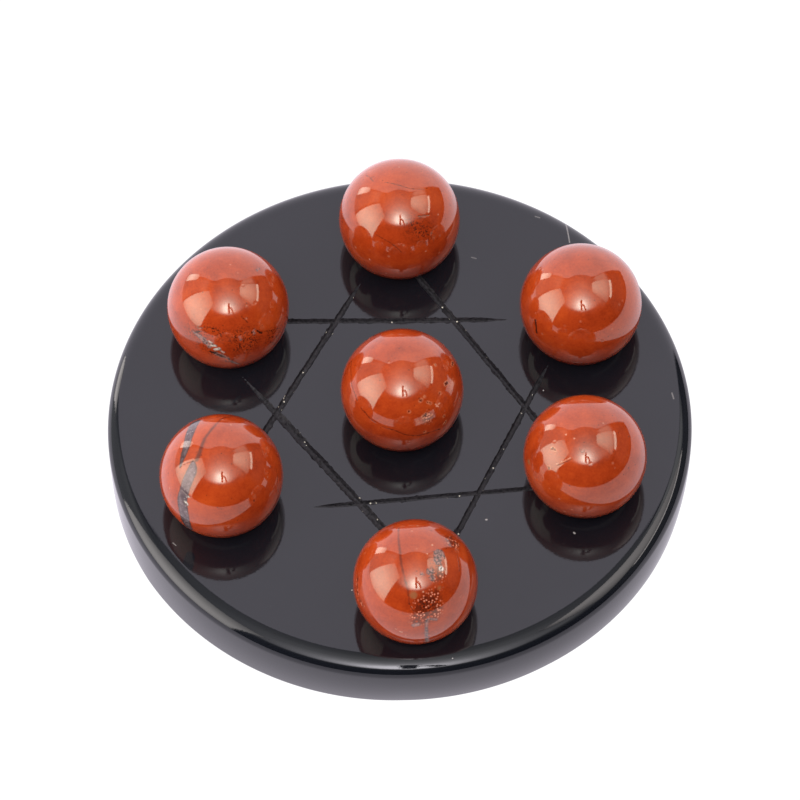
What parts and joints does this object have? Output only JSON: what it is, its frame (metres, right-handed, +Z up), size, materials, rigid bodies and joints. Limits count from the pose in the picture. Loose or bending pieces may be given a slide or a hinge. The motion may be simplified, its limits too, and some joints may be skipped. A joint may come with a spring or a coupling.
{
  "type": "stone plate with seated balls",
  "caption": "Round polished black stone plate with a ground star of grooves and shallow seats, each holding a loose polished red stone ball.",
  "frame": {"origin": "centre of the plate's flat underside, on the surface it stands on", "axes": "+Z up, +Y towards the back ball of the star, +X to the right"},
  "size_m": [0.08, 0.08, 0.0246],
  "materials": {
    "obsidian": "mirror polished",
    "jasper": "polished, veined"
  },
  "bodies": {
    "plate": {"base_plate": "obsidian"},
    "back_ball": {"ball_back": "jasper"},
    "back_left_ball": {"ball_back_left": "jasper"},
    "back_right_ball": {"ball_back_right": "jasper"},
    "centre_ball": {"ball_centre": "jasper"},
    "front_left_ball": {"ball_front_left": "jasper"},
    "front_right_ball": {"ball_front_right": "jasper"},
    "front_ball": {"ball_front": "jasper"}
  },
  "joints": [
    {"name": "back_ball_lift", "type": "slide", "parent": "plate", "child": "back_ball", "axis": [0, 0, 1], "range_m": [0, 0.03]},
    {"name": "back_left_ball_lift", "type": "slide", "parent": "plate", "child": "back_left_ball", "axis": [0, 0, 1], "range_m": [0, 0.03]},
    {"name": "back_right_ball_lift", "type": "slide", "parent": "plate", "child": "back_right_ball", "axis": [0, 0, 1], "range_m": [0, 0.03]},
    {"name": "centre_ball_lift", "type": "slide", "parent": "plate", "child": "centre_ball", "axis": [0, 0, 1], "range_m": [0, 0.03]},
    {"name": "front_left_ball_lift", "type": "slide", "parent": "plate", "child": "front_left_ball", "axis": [0, 0, 1], "range_m": [0, 0.03]},
    {"name": "front_right_ball_lift", "type": "slide", "parent": "plate", "child": "front_right_ball", "axis": [0, 0, 1], "range_m": [0, 0.03]},
    {"name": "front_ball_lift", "type": "slide", "parent": "plate", "child": "front_ball", "axis": [0, 0, 1], "range_m": [0, 0.03]}
  ]
}
